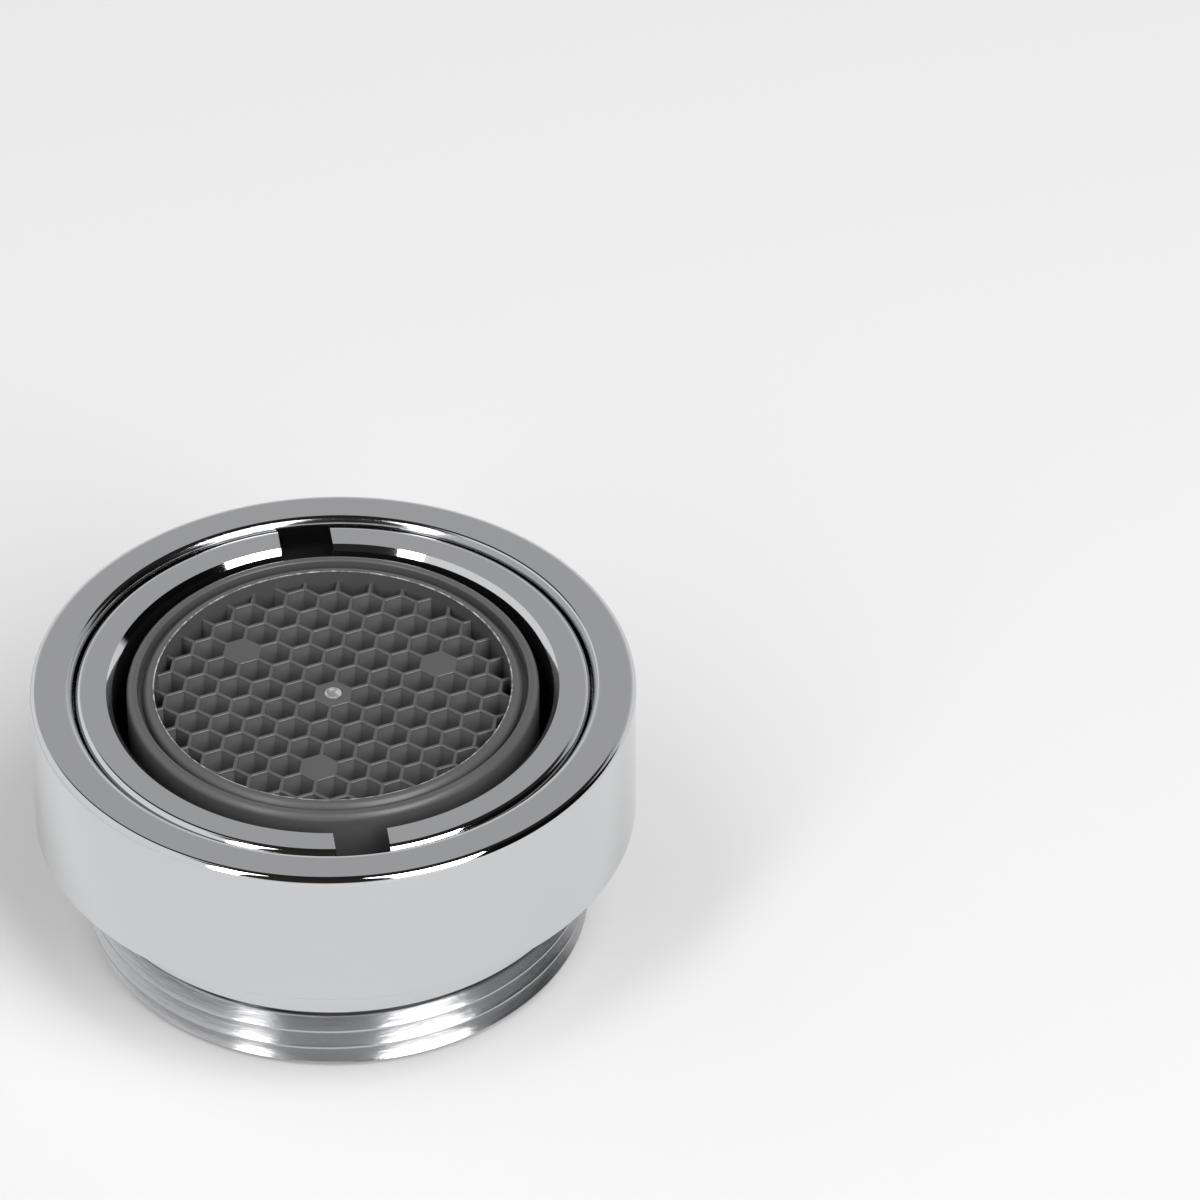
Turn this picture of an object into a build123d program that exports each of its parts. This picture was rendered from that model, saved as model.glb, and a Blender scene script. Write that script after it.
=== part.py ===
from build123d import *
from math import cos, hypot, radians, sin, sqrt
import os

# A tap aerator that only its own key can turn, standing on its inlet end with the outlet up.
# Z runs up the axis of the water jet. The origin is the centre of the sealing washer's free face.

# Outside of the sleeve, whose thread sets every other radius of the part
thread_diameter = 23.85
thread_length = 2.6
thread_lead = 0.1
thread_pitch = 1.0
thread_depth = 0.58
thread_crest = 0.12
thread_root = 0.21
thread_angle = 234
groove_runout = 1.6
relief_width = 0.67
relief_depth = 0.66
neck_step = 0.075
neck_length = 2.65

# Head of the sleeve, which holds the shroud and has two slots for the key
head_step = 0.1
head_height = 3.1
head_round = 0.38
head_mouth_chamfer = 0.25
head_sink = 0.18
key_slot_width = 2.5
key_slot_depth = 2.8
key_slot_angle = 8.1

# Shroud that spins on the sleeve, under its head
running_clearance = 0.06
head_clearance = 0.08
shoulder_play = 0.1
shroud_wall = 2.14
shroud_height = 7.31
shroud_top_round = 0.33
shroud_lip_round = 0.38
shroud_foot_chamfer = 0.15

# Split ring that keeps the shroud on the sleeve
retaining_height = 0.7
retaining_width = 0.7
retaining_bite = 0.4
retaining_gap = 2.0
retaining_offset = 1.6
retaining_fit = 0.05
retaining_play = 0.1

# Inside of the sleeve
sleeve_wall = 1.65
recess_step = 0.4
ledge_thickness = 1.0
ledge_clearance = 0.3

# Sealing washer
washer_thickness = 2.0
washer_width = 1.9
washer_proud = 0.3
washer_clearance = 0.1

# Insert that carries everything the water runs through
insert_gap = 0.7
insert_flange = 1.0
insert_flange_clearance = 0.15
insert_sink = 0.02
insert_round = 0.33
insert_wall = 0.65
chamber_step = 0.4
rim_width = 0.5
rim_inner_round = 0.1
groove_depth = 0.6
groove_draft = 0.05
lip_width = 0.55
lip_height = 0.6
lip_round = 0.45

# Honeycomb that straightens the jet
honeycomb_margin = 1.3
honeycomb_sink = 0.66
honeycomb_depth = 2.5
cell_pitch = 1.551
cell_wall = 0.18
cell_angle = -5.8
gate_diameter = 0.8
gate_height = 0.06

# Windows that let air into the chamber
window_count = 8
window_width = 3.0
window_height = 1.4
window_offset = 0.3

# Loose pieces stacked inside the insert
stack_clearance = 0.05
grid_height = 1.4
grid_bar_height = 0.8
grid_bar_width = 0.45
grid_bar_pitch = 1.5
grid_rim_width = 0.7
plate_thickness = 1.0
nozzle_diameter = 0.9
nozzle_margin = 1.95
nozzle_count = 24
spreader_margin = 3.0
spreader_height = 0.7

# Flow regulator
regulator_rim_height = 1.3
regulator_rim_width = 0.7
regulator_floor = 0.6
cup_margin = 2.75
cup_wall = 0.6
cup_depth = 1.6
channel_width = 2.2
port_width = 0.8
port_length = 0.6
port_count = 8
peg_hole_diameter = 2.4
peg_length = 1.0
cap_thickness = 0.5
cap_window_count = 6
cap_spoke_width = 0.9
cap_rim_width = 1.0
seal_section = 1.5
seal_clearance = 0.02

# Filter over the inlet
filter_skirt_width = 0.8
filter_skirt_height = 1.3
filter_rise = 1.4
filter_wall = 0.4
filter_edge_clearance = 0.15
filter_hole = 0.8
filter_ring_step = 1.5
filter_margin = 1.0

# Heights above the washer's free face
thread_end_z = washer_proud
relief_z = thread_end_z + thread_length
neck_z = relief_z + relief_width
shroud_z = neck_z + neck_length
outlet_z = shroud_z + shroud_height
head_top_z = outlet_z - head_sink
head_z = head_top_z - head_height
flange_z = washer_thickness
ledge_z = flange_z + insert_flange
ledge_top_z = ledge_z + ledge_thickness
rim_z = outlet_z - insert_sink
honeycomb_z = outlet_z - honeycomb_sink
chamber_top_z = honeycomb_z - honeycomb_depth
lip_z = honeycomb_z + lip_height
regulator_z = flange_z + filter_skirt_height
plate_z = regulator_z + regulator_rim_height
seat_z = plate_z + plate_thickness
window_z = seat_z + window_offset
retaining_z = shroud_z + retaining_offset
floor_z = plate_z - regulator_floor
cup_z = floor_z - cup_depth

# Radii that follow from the thread
thread_radius = thread_diameter / 2
neck_radius = thread_radius + neck_step
head_radius = neck_radius + head_step
shroud_bore_radius = neck_radius + running_clearance
shroud_mouth_radius = head_radius + head_clearance
shroud_radius = shroud_bore_radius + shroud_wall
retaining_radius = shroud_bore_radius + retaining_bite
retaining_inner_radius = retaining_radius - retaining_width
bore_radius = neck_radius - sleeve_wall
recess_radius = bore_radius + recess_step
washer_radius = recess_radius - washer_clearance
washer_bore_radius = washer_radius - washer_width
insert_radius = bore_radius - insert_gap
flange_radius = recess_radius - insert_flange_clearance
ledge_radius = insert_radius + ledge_clearance
insert_bore_radius = insert_radius - insert_wall
chamber_radius = insert_bore_radius - chamber_step
honeycomb_radius = insert_radius - honeycomb_margin
groove_radius = insert_radius - rim_width
lip_radius = honeycomb_radius + lip_width
stack_radius = insert_bore_radius - stack_clearance
nozzle_circle_radius = stack_radius - nozzle_margin
spreader_radius = nozzle_circle_radius - spreader_margin
cup_radius = stack_radius - cup_margin
channel_radius = cup_radius - cup_wall
boss_radius = channel_radius - channel_width
filter_edge_radius = washer_bore_radius - filter_edge_clearance

os.makedirs("parts", exist_ok=True)


def outline(points):
    """A closed outline of (radius, height) points in the plane that the turned pieces share."""
    with BuildSketch(Plane.XZ) as section:
        with BuildLine():
            Polyline(*points, close=True)
        make_face()
    return section.sketch


def band(inner, outer, bottom, top):
    """The outline of a plain ring."""
    return outline([(inner, bottom), (outer, bottom), (outer, top), (inner, top)])


def widest_edge(piece, level):
    """The largest circular edge of a turned piece at one of its levels, counted from below."""
    return piece.edges().filter_by(GeomType.CIRCLE).group_by(Axis.Z)[level].sort_by(SortBy.RADIUS)[-1]


def narrowest_edge(piece, level):
    """The smallest circular edge of a turned piece at one of its levels, counted from below."""
    return piece.edges().filter_by(GeomType.CIRCLE).group_by(Axis.Z)[level].sort_by(SortBy.RADIUS)[0]


def finish(piece, name):
    """Label a finished piece and write it to its own file."""
    piece.label = name
    export_step(piece, f"parts/{name}.step")


# Shroud that spins freely round the sleeve, so that fingers or pliers can't undo the thread
with BuildPart() as shroud_ring:
    revolve(outline([
        (shroud_bore_radius, shroud_z),
        (shroud_radius, shroud_z),
        (shroud_radius, outlet_z),
        (shroud_mouth_radius, outlet_z),
        (shroud_mouth_radius, head_z - shoulder_play),
        (shroud_bore_radius, head_z - shoulder_play),
    ]), axis=Axis.Z)
    fillet(widest_edge(shroud_ring, -1), shroud_top_round)
    fillet(narrowest_edge(shroud_ring, -1), shroud_lip_round)
    chamfer(widest_edge(shroud_ring, 0), shroud_foot_chamfer)
    chamfer(narrowest_edge(shroud_ring, 0), shroud_foot_chamfer)
    revolve(band(
        0,
        retaining_radius + retaining_fit,
        retaining_z - retaining_fit,
        retaining_z + retaining_height + retaining_fit,
    ), axis=Axis.Z, mode=Mode.SUBTRACT)
finish(shroud_ring.part, "shroud_ring")


def thread_groove():
    """The helical groove between the crests, longer than the thread at both of its ends."""
    start_z = thread_end_z - groove_runout
    root_radius = thread_radius - thread_depth
    half_width = (thread_pitch - thread_crest) / 2
    overcut = thread_crest / 4
    flank_slope = (half_width - thread_root / 2) / thread_depth
    reach = thread_depth + overcut / flank_slope
    with BuildPart() as groove:
        with BuildSketch(Plane(origin=(root_radius, 0, start_z), x_dir=(1, 0, 0), z_dir=(0, -1, 0))):
            with BuildLine():
                Polyline(
                    (0, -thread_root / 2),
                    (reach, -half_width - overcut),
                    (reach, half_width + overcut),
                    (0, thread_root / 2),
                    close=True,
                )
            make_face()
        path = Helix(thread_pitch, thread_length + 2 * groove_runout, root_radius, center=(0, 0, start_z))
        sweep(path=path, is_frenet=True)
    return groove.part.rotate(Axis.Z, thread_angle)


# Threaded end of the sleeve: a longer rod is grooved, then trimmed to the thread's length
with BuildPart() as threaded_end:
    with Locations((0, 0, thread_end_z - 2 * groove_runout)):
        Cylinder(
            thread_radius,
            thread_length + 4 * groove_runout,
            align=(Align.CENTER, Align.CENTER, Align.MIN),
        )
    add(thread_groove(), mode=Mode.SUBTRACT)
    revolve(outline([
        (recess_radius, thread_end_z),
        (thread_radius - thread_lead, thread_end_z),
        (thread_radius + thread_lead, thread_end_z + 2 * thread_lead),
        (thread_radius + thread_lead, relief_z),
        (recess_radius, relief_z),
    ]), axis=Axis.Z, mode=Mode.INTERSECT)

# Sleeve that carries the thread, the insert and the two slots for the key
with BuildPart() as threaded_sleeve:
    add(threaded_end.part)
    revolve(outline([
        (recess_radius, relief_z),
        (neck_radius - relief_depth, relief_z),
        (neck_radius - relief_depth, neck_z),
        (neck_radius, neck_z),
        (neck_radius, head_z),
        (head_radius, head_z),
        (head_radius, head_top_z),
        (bore_radius, head_top_z),
        (bore_radius, ledge_top_z),
        (ledge_radius, ledge_top_z),
        (ledge_radius, ledge_z),
        (recess_radius, ledge_z),
    ]), axis=Axis.Z)
    fillet(widest_edge(threaded_sleeve, -1), head_round)
    chamfer(narrowest_edge(threaded_sleeve, -1), head_mouth_chamfer)
    revolve(band(
        retaining_inner_radius - retaining_bite - retaining_fit,
        shroud_bore_radius,
        retaining_z - retaining_play,
        retaining_z + retaining_height + retaining_play,
    ), axis=Axis.Z, mode=Mode.SUBTRACT)
    with BuildSketch(Plane.XY.offset(head_top_z - key_slot_depth)):
        Rectangle(key_slot_width, 2 * shroud_radius, rotation=key_slot_angle)
    extrude(amount=key_slot_depth, mode=Mode.SUBTRACT)
finish(threaded_sleeve.part, "threaded_sleeve")

# Split ring, sprung outward into the shroud's groove and free to slide in the sleeve's
with BuildPart() as retaining_ring:
    revolve(band(
        retaining_inner_radius,
        retaining_radius,
        retaining_z,
        retaining_z + retaining_height,
    ), axis=Axis.Z)
    with BuildSketch(Plane.XY.offset(retaining_z)):
        with Locations((0, -neck_radius)):
            Rectangle(retaining_gap, neck_radius)
    extrude(amount=retaining_height, mode=Mode.SUBTRACT)
finish(retaining_ring.part, "retaining_ring")

# Rubber washer that seals against the seat in the spout
with BuildPart() as sealing_washer:
    revolve(band(washer_bore_radius, washer_radius, 0, washer_thickness), axis=Axis.Z)
finish(sealing_washer.part, "sealing_washer")


def honeycomb_cells():
    """Centres of the open cells: the middle one and three more round it are left solid."""
    row_step = cell_pitch * sqrt(3) / 2
    reach = round(honeycomb_radius / row_step) + 1
    solid_cells = {(0, 0), (2, 2), (-4, 2), (2, -4)}
    centres = []
    for row in range(-reach, reach + 1):
        for place in range(-2 * reach, 2 * reach + 1):
            along = (place + row / 2) * cell_pitch
            across = row * row_step
            inside = hypot(along, across) < honeycomb_radius + cell_pitch * 0.36
            if inside and (place, row) not in solid_cells:
                turn = radians(cell_angle)
                centres.append((
                    along * cos(turn) - across * sin(turn),
                    along * sin(turn) + across * cos(turn),
                ))
    return centres


# Insert body: flange, wall with air windows, honeycomb and rim moulded in one
with BuildPart() as insert_body:
    revolve(outline([
        (0, chamber_top_z),
        (chamber_radius, chamber_top_z),
        (chamber_radius, seat_z),
        (insert_bore_radius, seat_z),
        (insert_bore_radius, flange_z),
        (flange_radius, flange_z),
        (flange_radius, ledge_z),
        (insert_radius, ledge_z),
        (insert_radius, rim_z),
        (groove_radius, rim_z),
        (groove_radius - groove_draft, rim_z - groove_depth),
        (lip_radius, rim_z - groove_depth),
        (lip_radius, lip_z),
        (honeycomb_radius, lip_z),
        (honeycomb_radius, honeycomb_z),
        (0, honeycomb_z),
    ]), axis=Axis.Z)
    lip_edge = widest_edge(insert_body, -2)
    fillet(narrowest_edge(insert_body, -1), rim_inner_round)
    fillet(widest_edge(insert_body, -1), insert_round)
    fillet(lip_edge, lip_round)
    with BuildSketch(Plane.XY.offset(chamber_top_z)):
        with Locations(*honeycomb_cells()):
            RegularPolygon(
                (cell_pitch - cell_wall) / 2, 6, major_radius=False, rotation=cell_angle + 30,
            )
        Circle(honeycomb_radius, mode=Mode.INTERSECT)
    extrude(amount=honeycomb_depth, mode=Mode.SUBTRACT)
    with BuildSketch(Plane.XY.offset(honeycomb_z)):
        Circle(gate_diameter / 2)
    extrude(amount=gate_height)
    with BuildSketch(Plane.XY.offset(window_z)):
        with PolarLocations((chamber_radius + insert_radius) / 2, window_count):
            Rectangle(2 * (insert_radius - chamber_radius), window_width)
    extrude(amount=window_height, mode=Mode.SUBTRACT)
finish(insert_body.part, "insert_body")


def interrupter_grid(top_z, direction):
    """A ring with parallel bars that break the jets up, turned by an angle in degrees."""
    grid_radius = chamber_radius - stack_clearance
    with BuildPart() as grid:
        revolve(band(grid_radius - grid_rim_width, grid_radius, top_z - grid_height, top_z), axis=Axis.Z)
        bar_count = 2 * int((grid_radius - grid_rim_width) / grid_bar_pitch) + 1
        with BuildSketch(Plane.XY.offset(top_z - grid_bar_height).rotated((0, 0, direction))):
            with GridLocations(grid_bar_pitch, grid_bar_pitch, bar_count, 1):
                Rectangle(grid_bar_width, 2 * grid_radius)
            Rectangle(2 * grid_radius, grid_bar_width)
            Circle(grid_radius - grid_rim_width / 2, mode=Mode.INTERSECT)
        extrude(amount=grid_bar_height)
    return grid.part


upper_grid = interrupter_grid(chamber_top_z, 0)
finish(upper_grid, "interrupter_grid_upper")
lower_grid = interrupter_grid(chamber_top_z - grid_height, 90)
finish(lower_grid, "interrupter_grid_lower")

# Jet plate that splits the water into a ring of fine jets and draws in the air
with BuildPart() as jet_plate:
    revolve(band(0, stack_radius, plate_z, seat_z), axis=Axis.Z)
    with BuildSketch(Plane.XY.offset(seat_z)):
        Circle(spreader_radius)
    extrude(amount=spreader_height, taper=45)
    with Locations((0, 0, seat_z)):
        with PolarLocations(nozzle_circle_radius, nozzle_count):
            Hole(nozzle_diameter / 2, plate_thickness)
finish(jet_plate.part, "jet_plate")

# Regulator base: a floor with ports round its boss, in a cup that holds the ring seal
with BuildPart() as regulator_base:
    revolve(outline([
        (peg_hole_diameter / 2, cup_z),
        (boss_radius, cup_z),
        (boss_radius, floor_z),
        (channel_radius, floor_z),
        (channel_radius, cup_z),
        (cup_radius, cup_z),
        (cup_radius, floor_z),
        (stack_radius - regulator_rim_width, floor_z),
        (stack_radius - regulator_rim_width, regulator_z),
        (stack_radius, regulator_z),
        (stack_radius, plate_z),
        (0, plate_z),
        (0, floor_z),
        (peg_hole_diameter / 2, floor_z),
    ]), axis=Axis.Z)
    with BuildSketch(Plane.XY.offset(floor_z)):
        with PolarLocations(boss_radius + port_length / 2, port_count):
            Rectangle(port_length, port_width)
    extrude(amount=regulator_floor, mode=Mode.SUBTRACT)
finish(regulator_base.part, "regulator_base")

# Ring seal that the water presses against the floor, which narrows the ports as pressure rises
with BuildPart() as regulator_seal:
    with BuildSketch(Plane.XZ):
        with Locations(((boss_radius + channel_radius) / 2, floor_z - seal_section / 2 - seal_clearance)):
            Circle(seal_section / 2)
    revolve(axis=Axis.Z)
finish(regulator_seal.part, "regulator_seal")

# Cap with a peg in the boss and spokes over the channel, which keeps the seal in its cup
with BuildPart() as regulator_cap:
    revolve(band(0, cup_radius, cup_z - cap_thickness, cup_z), axis=Axis.Z)
    with BuildSketch(Plane.XY.offset(cup_z - cap_thickness)):
        Circle(cup_radius - cap_rim_width)
        Circle(boss_radius, mode=Mode.SUBTRACT)
        with PolarLocations(cup_radius / 2, cap_window_count):
            Rectangle(cup_radius, cap_spoke_width, mode=Mode.SUBTRACT)
    extrude(amount=cap_thickness, mode=Mode.SUBTRACT)
    with BuildSketch(Plane.XY.offset(cup_z)):
        Circle(peg_hole_diameter / 2 - stack_clearance)
    extrude(amount=peg_length)
finish(regulator_cap.part, "regulator_cap")


def dome_radius(rise, edge):
    """Radius of the ball that a shallow dome is cut from."""
    return (edge ** 2 + rise ** 2) / (2 * rise)


# Filter: a shallow dome of square holes, on a skirt that sits in the insert's mouth
filter_ball = dome_radius(filter_rise, filter_edge_radius)
filter_centre_z = flange_z - filter_rise + filter_ball
filter_ring_count = int((filter_edge_radius - filter_margin) / filter_ring_step)
with BuildPart() as inlet_filter:
    with Locations((0, 0, filter_centre_z)):
        Sphere(filter_ball)
        Sphere(filter_ball - filter_wall, mode=Mode.SUBTRACT)
    split(bisect_by=Plane.XY.offset(flange_z), keep=Keep.BOTTOM)
    revolve(band(
        stack_radius - filter_skirt_width, stack_radius, flange_z, flange_z + filter_skirt_height,
    ), axis=Axis.Z)
    with BuildSketch(Plane.XY.offset(flange_z - filter_rise)):
        Rectangle(filter_hole, filter_hole)
        for ring in range(1, filter_ring_count + 1):
            with PolarLocations(ring * filter_ring_step, 6 * ring):
                Rectangle(filter_hole, filter_hole)
    extrude(amount=filter_rise, mode=Mode.SUBTRACT)
finish(inlet_filter.part, "inlet_filter")
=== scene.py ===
from math import cos, pi, radians, sin, sqrt, tan

import bmesh
import bpy
from bpy.props import FloatProperty, FloatVectorProperty, PointerProperty
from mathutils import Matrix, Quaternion, Vector


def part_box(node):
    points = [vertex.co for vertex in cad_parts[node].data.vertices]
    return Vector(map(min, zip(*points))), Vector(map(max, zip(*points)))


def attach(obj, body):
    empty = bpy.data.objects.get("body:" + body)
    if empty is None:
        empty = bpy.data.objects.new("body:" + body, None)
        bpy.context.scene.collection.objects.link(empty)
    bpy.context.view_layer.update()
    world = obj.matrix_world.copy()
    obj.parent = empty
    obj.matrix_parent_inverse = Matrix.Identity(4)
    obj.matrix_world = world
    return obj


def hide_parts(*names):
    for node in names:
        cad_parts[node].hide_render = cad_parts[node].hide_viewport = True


bl_info = {
    "name": "Tap Aerator",
    "version": (1, 0, 0),
    "blender": (4, 5, 0),
    "location": "View3D > Sidebar > Aerator",
    "description": "Builds the looks of a chromed tap aerator round its packed solids",
    "category": "Object",
}

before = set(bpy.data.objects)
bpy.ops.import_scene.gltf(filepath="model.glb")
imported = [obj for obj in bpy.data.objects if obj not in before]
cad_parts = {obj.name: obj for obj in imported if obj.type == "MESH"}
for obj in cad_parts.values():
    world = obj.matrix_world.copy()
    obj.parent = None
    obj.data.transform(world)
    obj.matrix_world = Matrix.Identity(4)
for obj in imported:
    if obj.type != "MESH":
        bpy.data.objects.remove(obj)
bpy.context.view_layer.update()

MM = 0.001
TURN_STEPS = 256
ROUND_STEPS = 10

# Fixed sizes of the shroud, measured from the sleeve's head and from the retaining ring
MOUTH_GAP = 0.08 * MM
BORE_STEP = 0.04 * MM
SHOULDER_DROP = 3.2 * MM
RING_ROOM = 0.05 * MM

# Fixed sizes of the sleeve
HEAD_HEIGHT = 3.1 * MM
NECK_STEP = 0.1 * MM
NECK_CHAMFER = 0.04 * MM
RING_GROOVE_DEPTH = 1.15 * MM
RING_GROOVE_ROOM = 0.1 * MM
THREAD_STEP = 0.075 * MM
THREAD_LENGTH = 2.6 * MM
THREAD_LEAD = 0.1 * MM
THREAD_START = 0.25
THREAD_ROOT = 0.21
ROWS_PER_PITCH = 20
RELIEF_DEPTH = 0.66 * MM
RELIEF_WIDTH = 0.67 * MM
SLEEVE_BORE = 10.35 * MM
WASHER_RECESS = 10.75 * MM
WASHER_CEILING = 3.0 * MM
INSERT_LEDGE = 9.95 * MM
LEDGE_TOP = 4.0 * MM
SLOT_DEPTH = 2.8 * MM
SLOT_TURN = radians(8.1)

# Fixed sizes of the insert, its heights measured down from the rim
INSERT_RADIUS = 9.65 * MM
HONEYCOMB_RADIUS = 8.35 * MM
HONEYCOMB_SINK = 0.64 * MM
HONEYCOMB_DEPTH = 2.5 * MM
HONEYCOMB_TURN = radians(-5.8)
SOLID_CELLS = ((0, 0), (2, 2), (-4, 2), (2, -4))
CELL_REACH = 0.36
CELL_EDGE = 0.03 * MM
LIP_WIDTH = 0.55 * MM
LIP_HEIGHT = 0.6 * MM
LIP_ROUND = 0.45 * MM
LIP_INNER_ROUND = 0.04 * MM
RIM_WIDTH = 0.5 * MM
RIM_ROUND = 0.33 * MM
RIM_INNER_ROUND = 0.1 * MM
GROOVE_DEPTH = 0.6 * MM
GROOVE_DRAFT = 0.05 * MM
CHAMBER_RADIUS = 8.6 * MM
CHAMBER_FOOT = 5.6 * MM
SKIRT_RADIUS = 9.0 * MM
FLANGE_TOP = 3.0 * MM
GATE_RING = ((0.42, 0.0), (0.38, 0.06), (0.3, 0.06), (0.25, 0.02), (0.0, 0.02))
WINDOW_RADII = (8.02 * MM, 10.34 * MM)
WINDOW_HEIGHTS = (5.9 * MM, 7.3 * MM)
WINDOW_WIDTH = 3.0 * MM
WINDOW_COUNT = 8
INSERT_SMOOTH = 32.0


# Sizes and finishes that a user would change

class AeratorSizes(bpy.types.PropertyGroup):
    """Sizes of the pieces that are modelled here, in the solids' own places"""
    top_round: FloatProperty(
        name="Shroud rounding", description="Rounding of the shroud's outer edge at the outlet",
        default=0.33 * MM, min=0.01 * MM, unit="LENGTH", precision=5)
    lip_round: FloatProperty(
        name="Shroud lip", description="Rounding of the shroud's bore at the outlet",
        default=0.38 * MM, min=0.01 * MM, unit="LENGTH", precision=5)
    foot_chamfer: FloatProperty(
        name="Shroud foot", description="Chamfers of the shroud's lower end",
        default=0.15 * MM, min=0.01 * MM, unit="LENGTH", precision=5)
    head_round: FloatProperty(
        name="Head rounding", description="Rounding of the outer edge of the sleeve's head",
        default=0.38 * MM, min=0.01 * MM, unit="LENGTH", precision=5)
    head_mouth: FloatProperty(
        name="Head mouth", description="Chamfer of the sleeve's bore at the outlet",
        default=0.25 * MM, min=0.01 * MM, unit="LENGTH", precision=5)
    thread_pitch: FloatProperty(
        name="Thread pitch", description="Distance from crest to crest of the outside thread",
        default=1.0 * MM, min=0.5 * MM, max=1.5 * MM, unit="LENGTH", precision=5)
    thread_depth: FloatProperty(
        name="Thread depth", description="Height of the outside thread's crests above its root",
        default=0.58 * MM, min=0.1 * MM, max=0.7 * MM, unit="LENGTH", precision=5)
    thread_crest: FloatProperty(
        name="Thread crest", description="Width of the thread's flat crest as a part of its pitch",
        default=0.12, min=0.02, max=0.25, subtype="FACTOR")
    slot_width: FloatProperty(
        name="Slot width", description="Width of the two slots in the sleeve's head",
        default=2.5 * MM, min=1.0 * MM, max=5.0 * MM, unit="LENGTH", precision=5)
    cell_pitch: FloatProperty(
        name="Cell pitch", description="Distance between the honeycomb's cells",
        default=1.551 * MM, min=0.8 * MM, max=3.0 * MM, unit="LENGTH", precision=5)
    cell_wall: FloatProperty(
        name="Cell wall", description="Thickness of the honeycomb's walls",
        default=0.18 * MM, min=0.08 * MM, max=0.6 * MM, unit="LENGTH", precision=5)


class AeratorFinish(bpy.types.PropertyGroup):
    """Colours and surfaces"""
    chrome_colour: FloatVectorProperty(
        name="Chrome", description="Colour that the chromed brass reflects",
        subtype="COLOR", size=3, min=0.0, max=1.0, default=(0.62, 0.625, 0.635))
    chrome_roughness: FloatProperty(
        name="Chrome roughness", description="Roughness of the polished chrome",
        subtype="FACTOR", min=0.0, max=1.0, default=0.035)
    insert_colour: FloatVectorProperty(
        name="Insert", description="Colour of the insert's moulded plastic",
        subtype="COLOR", size=3, min=0.0, max=1.0, default=(0.062, 0.062, 0.0614))
    lamp_power: FloatProperty(
        name="Lamp brightness", description="How bright the soft lamps are beside white paper",
        min=0.0, default=10.0)
    floor_brightness: FloatProperty(
        name="Floor", description="How brightly the pale floor glows of itself",
        min=0.0, default=0.12)


# Meshes and objects

def loose_object(name, mesh):
    """An object at the origin that holds a mesh."""
    made = bpy.data.objects.new(name, mesh)
    bpy.context.scene.collection.objects.link(made)
    return made


def mesh_from(shell, name, merge=None):
    """The mesh of a bmesh, with its normals outwards and its doubles merged where asked."""
    if merge is not None:
        bmesh.ops.remove_doubles(shell, verts=shell.verts, dist=merge)
    bmesh.ops.recalc_face_normals(shell, faces=shell.faces)
    mesh = bpy.data.meshes.new(name)
    shell.to_mesh(mesh)
    shell.free()
    return mesh


def shade(piece, material, smooth_angle=14.0):
    """Give a whole piece one finish and shade it smooth up to an angle in degrees."""
    mesh = piece.data
    mesh.polygons.foreach_set("use_smooth", [True] * len(mesh.polygons))
    mesh.set_sharp_from_angle(angle=radians(smooth_angle))
    mesh.materials.clear()
    mesh.materials.append(material)
    mesh.polygons.foreach_set("material_index", [0] * len(mesh.polygons))


def mesh_piece(name, mesh, material):
    piece = loose_object(name, mesh)
    shade(piece, material)
    return piece


def line_faces(piece, material, chosen):
    """Give some faces their own finish, chosen by radius, height and how far they look outwards."""
    place = len(piece.data.materials)
    piece.data.materials.append(material)
    for face in piece.data.polygons:
        centre = face.center
        if chosen(centre.xy.length, centre.z, centre.xy.dot(face.normal.xy)):
            face.material_index = place


def plain_result(piece):
    """Replace a piece's mesh by the result of its modifier, and remove the modifier."""
    bpy.context.view_layer.update()
    graph = bpy.context.evaluated_depsgraph_get()
    mesh = bpy.data.meshes.new_from_object(piece.evaluated_get(graph))
    piece.modifiers.clear()
    piece.data = mesh
    return mesh


def cut_away(piece, cutter):
    """Take one closed mesh out of another."""
    trim = piece.modifiers.new("cut", "BOOLEAN")
    trim.operation = "DIFFERENCE"
    trim.solver = "EXACT"
    trim.object = cutter
    plain_result(piece)
    bpy.data.objects.remove(cutter)


# Turned shapes

def corner(points, index, kind, size):
    """The points that round or chamfer one corner of a closed outline, with supports beside."""
    here = Vector(points[index])
    before = (Vector(points[index - 1]) - here).normalized()
    after = (Vector(points[(index + 1) % len(points)]) - here).normalized()
    half = before.angle(after) / 2
    if kind == "chamfer":
        return [here + before * size, here + after * size]
    reach = size / tan(half)
    centre = here + (before + after).normalized() * (size / sin(half))
    start = here + before * reach - centre
    end = here + after * reach - centre
    sweep = pi - 2 * half
    support = size * 0.06
    arc = [here + before * (reach + support)]
    for step in range(ROUND_STEPS + 1):
        part = step / ROUND_STEPS
        from_start = start * (sin((1 - part) * sweep) / sin(sweep))
        arc.append(centre + from_start + end * (sin(part * sweep) / sin(sweep)))
    arc.append(here + after * (reach + support))
    return arc


def outline(points, corners):
    """A closed outline of (radius, height) points with some corners rounded or chamfered."""
    shaped = []
    for index, point in enumerate(points):
        if index in corners:
            kind, size = corners[index]
            shaped.extend(corner(points, index, kind, size))
        else:
            shaped.append(Vector(point))
    return shaped


def turned(name, shape, closed=True):
    """The mesh that an outline of (radius, height) points sweeps round the axis."""
    shell = bmesh.new()
    rings = []
    for step in range(TURN_STEPS):
        turn = 2 * pi * step / TURN_STEPS
        rings.append([shell.verts.new((p[0] * cos(turn), p[0] * sin(turn), p[1])) for p in shape])
    for step in range(TURN_STEPS):
        near = rings[step]
        far = rings[(step + 1) % TURN_STEPS]
        for place in range(len(shape) if closed else len(shape) - 1):
            after = (place + 1) % len(shape)
            shell.faces.new((near[place], near[after], far[after], far[place]))
    return mesh_from(shell, name, merge=1e-7)


# Cutters

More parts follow.
